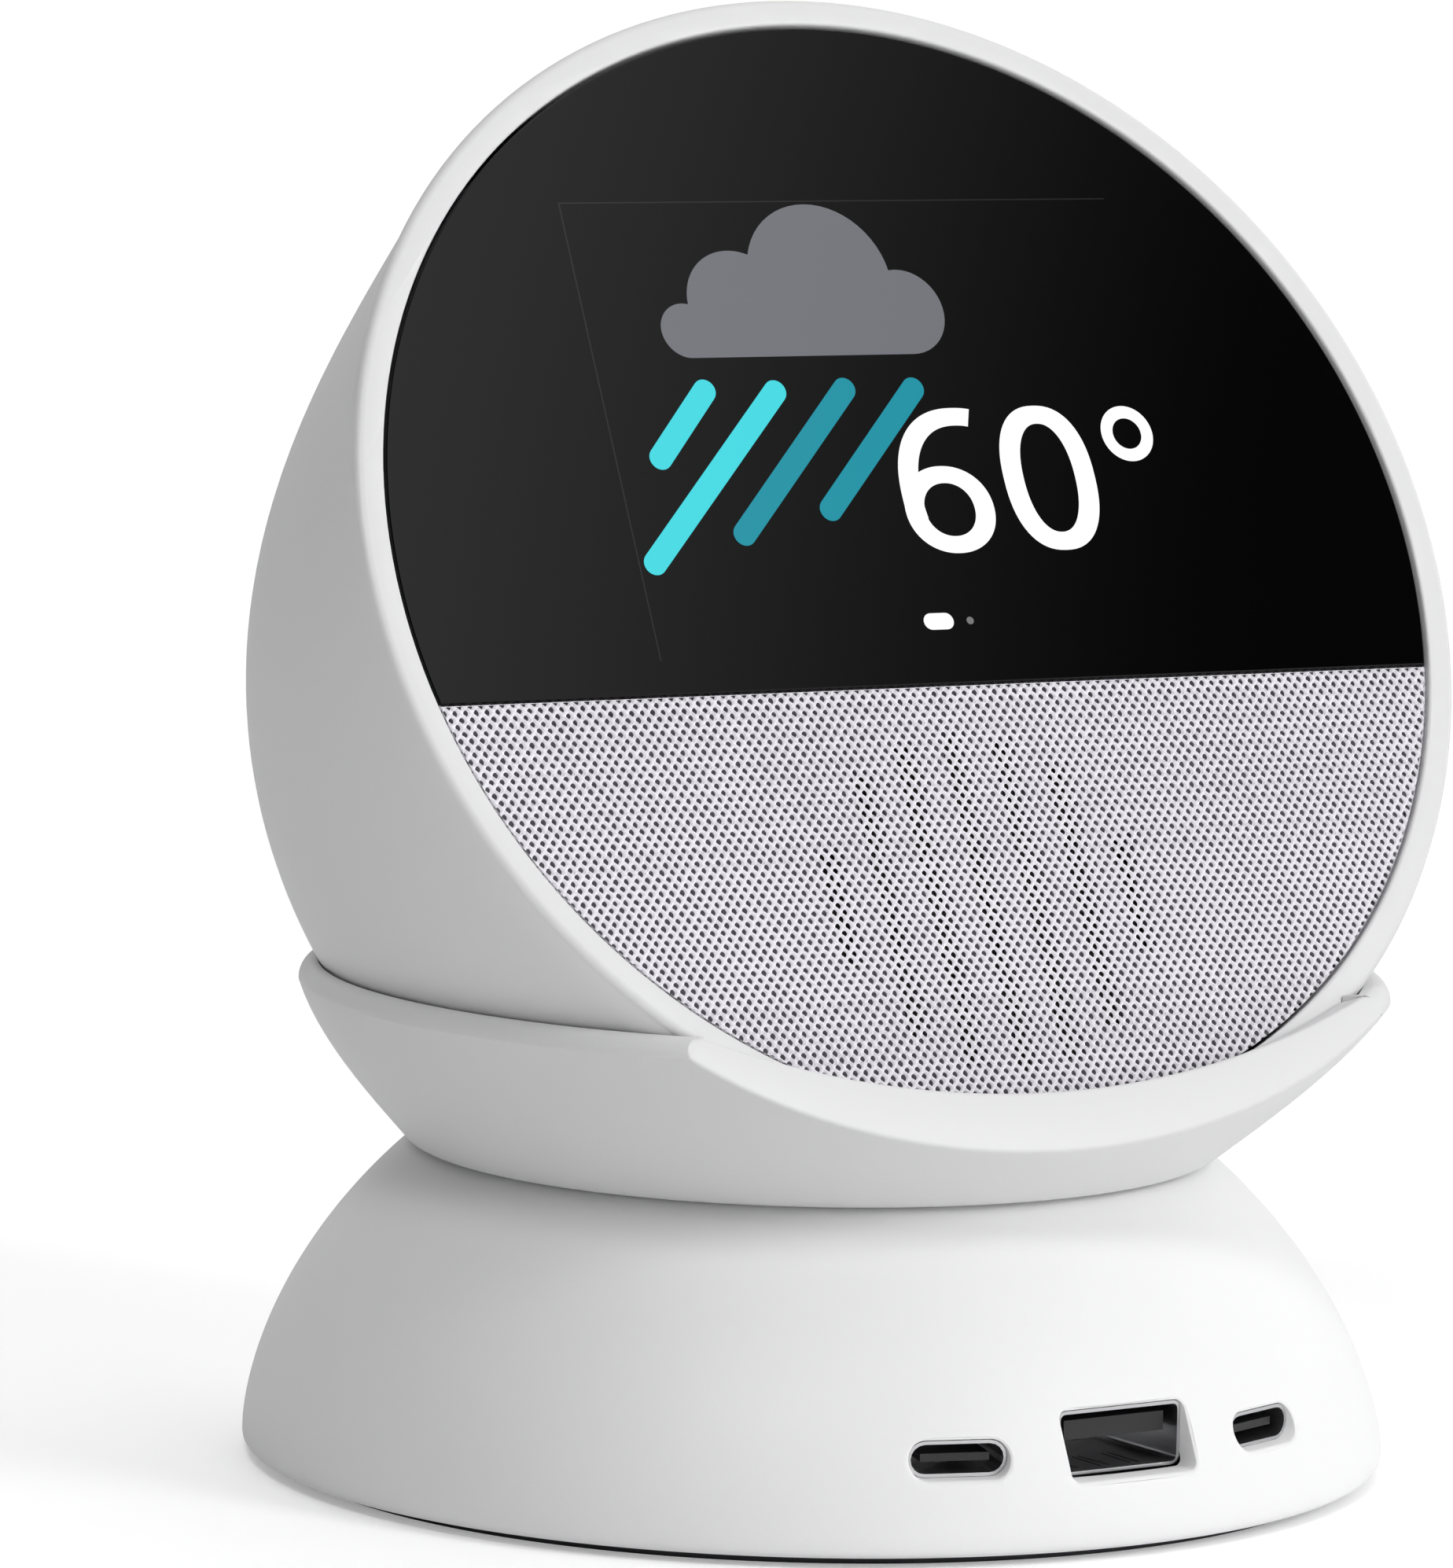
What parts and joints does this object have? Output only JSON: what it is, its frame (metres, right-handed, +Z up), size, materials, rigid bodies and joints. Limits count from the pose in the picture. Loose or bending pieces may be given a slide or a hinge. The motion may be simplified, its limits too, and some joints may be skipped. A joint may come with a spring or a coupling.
{
  "type": "smart display",
  "caption": "Round-faced smart display with a speaker grille, resting in a swivelling cradle on a domed base with USB sockets.",
  "frame": {"origin": "middle of the round rubber foot's underside, on the table", "axes": "+Z up, the display faces -Y and leans back, +X is to the right of someone facing the display"},
  "size_m": [0.1102, 0.1054, 0.1319],
  "materials": {
    "white_plastic": "smooth moulded white plastic, satin",
    "rubber": "matt black rubber",
    "steel": "plain plated steel",
    "black_plastic": "black plastic",
    "circuit_board": "green circuit board laminate",
    "low_friction_plastic": "slippery natural acetal",
    "aluminium": "plain aluminium",
    "fabric": "open white knitted speaker cloth",
    "glass": "black-backed glossy glass",
    "paper_cone": "coated paper speaker cone"
  },
  "bodies": {
    "base": {"base_shell": "white_plastic", "base_bottom_plate": "white_plastic", "base_foot": "rubber", "base_screw_back_right": "steel", "base_screw_back_left": "steel", "base_screw_front_left": "steel", "base_screw_front_right": "steel", "ballast_weight": "steel", "power_board": "circuit_board", "inductor": "black_plastic", "capacitor_left": "aluminium", "capacitor_right": "aluminium", "usb_a_shell": "steel", "usb_a_tongue": "black_plastic", "usb_c_left_shell": "steel", "usb_c_left_tongue": "black_plastic", "usb_c_right_shell": "steel", "usb_c_right_tongue": "black_plastic", "swivel_washer": "low_friction_plastic"},
    "cradle": {"cradle_bowl": "white_plastic", "grip_pad": "rubber", "swivel_spindle": "black_plastic", "spindle_retainer": "steel", "spindle_screw_front": "steel", "spindle_screw_left": "steel", "spindle_screw_right": "steel"},
    "display": {"housing": "white_plastic", "front_frame": "black_plastic", "cover_glass": "glass", "fabric_grille": "fabric", "screen_panel": "glass", "screen_back_plate": "steel", "speaker_basket": "black_plastic", "speaker_cone": "paper_cone", "speaker_dust_cap": "paper_cone", "speaker_magnet": "steel", "main_board": "circuit_board", "processor_shield": "steel", "heat_spreader": "aluminium", "power_inlet": "black_plastic", "power_inlet_pin": "steel", "display_foot": "rubber", "switch_volume_down": "black_plastic", "switch_mic": "black_plastic", "switch_volume_up": "black_plastic", "switch_board_volume_down": "circuit_board", "switch_board_mic": "circuit_board", "switch_board_volume_up": "circuit_board"},
    "volume_down": {"button_volume_down": "white_plastic"},
    "mic": {"button_mic": "white_plastic"},
    "volume_up": {"button_volume_up": "white_plastic"}
  },
  "joints": [
    {"name": "swivel", "type": "hinge", "parent": "base", "child": "cradle", "pos_m": [0, 0.0016, 0.028], "axis": [0, 0, 1], "continuous": true},
    {"name": "lift_out", "type": "slide", "parent": "cradle", "child": "display", "axis": [0, 0.4634, 0.8861], "range_m": [0, 0.11]},
    {"name": "press_volume_down", "type": "slide", "parent": "display", "child": "volume_down", "axis": [0.2555, -0.4479, -0.8568], "range_m": [0, 0.0008], "stiffness_N_per_m": 300, "springref_m": -0.002},
    {"name": "press_mic", "type": "slide", "parent": "display", "child": "mic", "axis": [0, -0.4633, -0.8862], "range_m": [0, 0.0008], "stiffness_N_per_m": 300, "springref_m": -0.002},
    {"name": "press_volume_up", "type": "slide", "parent": "display", "child": "volume_up", "axis": [-0.2555, -0.4479, -0.8568], "range_m": [0, 0.0008], "stiffness_N_per_m": 300, "springref_m": -0.002}
  ]
}
